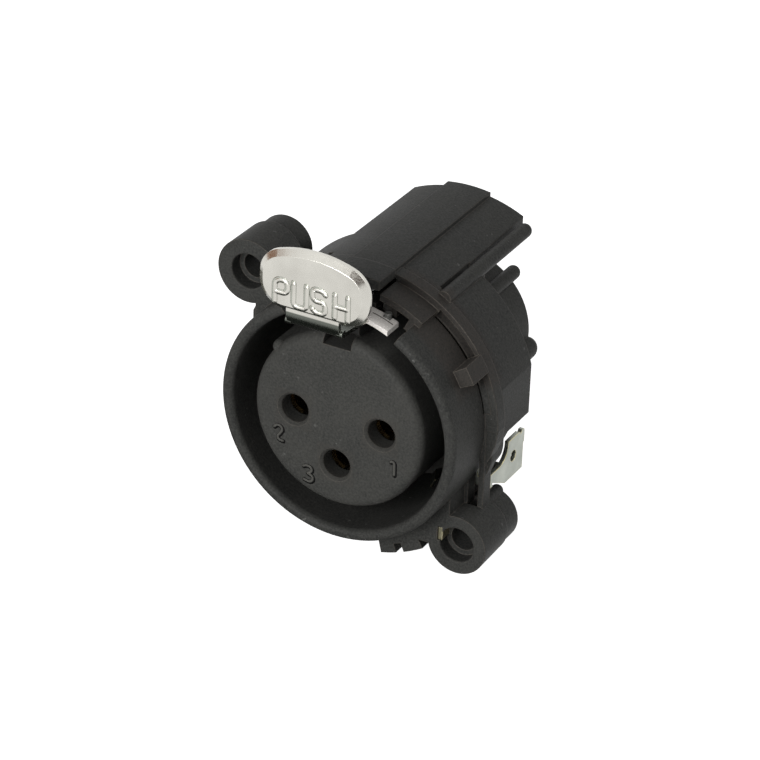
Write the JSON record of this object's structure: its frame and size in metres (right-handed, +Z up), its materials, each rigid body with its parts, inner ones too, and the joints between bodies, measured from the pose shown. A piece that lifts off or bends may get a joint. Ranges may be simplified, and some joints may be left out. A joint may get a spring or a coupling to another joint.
{
  "type": "xlr panel socket",
  "caption": "Round panel connector socket with a front mating ring, contact insert, push latch tab, screw bosses and a ground lug.",
  "frame": {"origin": "on the mating axis, in the plane of the screw bosses' front faces, where the panel rests", "axes": "+Y along the mating axis towards the rear, +Z up towards the latch, +X to the right seen from the front"},
  "size_m": [0.0253, 0.0284, 0.0296],
  "materials": {
    "housing": "fine grained black glass-filled moulding",
    "insert": "fine grained black moulding",
    "contact": "gold plated",
    "ground": "tinned, cut edges bare",
    "latch": "bright nickel with a satin face",
    "carrier": "smooth black moulding",
    "steel": "plain"
  },
  "bodies": {
    "base": {"housing": "housing", "insert": "insert", "contact_1": "contact", "contact_2": "contact", "contact_3": "contact", "ground_contact": "ground", "hinge_pin": "steel", "latch_spring": "steel"},
    "latch_arm": {"latch": "latch", "latch_carrier": "carrier"}
  },
  "joints": [
    {"name": "latch_press", "type": "hinge", "parent": "base", "child": "latch_arm", "pos_m": [0, 0.0046, 0.01038], "axis": [-1, 0, 0], "range_deg": [0, 8.5], "stiffness_Nm_per_rad": 0.25, "springref_deg": -5.73, "deforming": ["latch_spring"]}
  ]
}
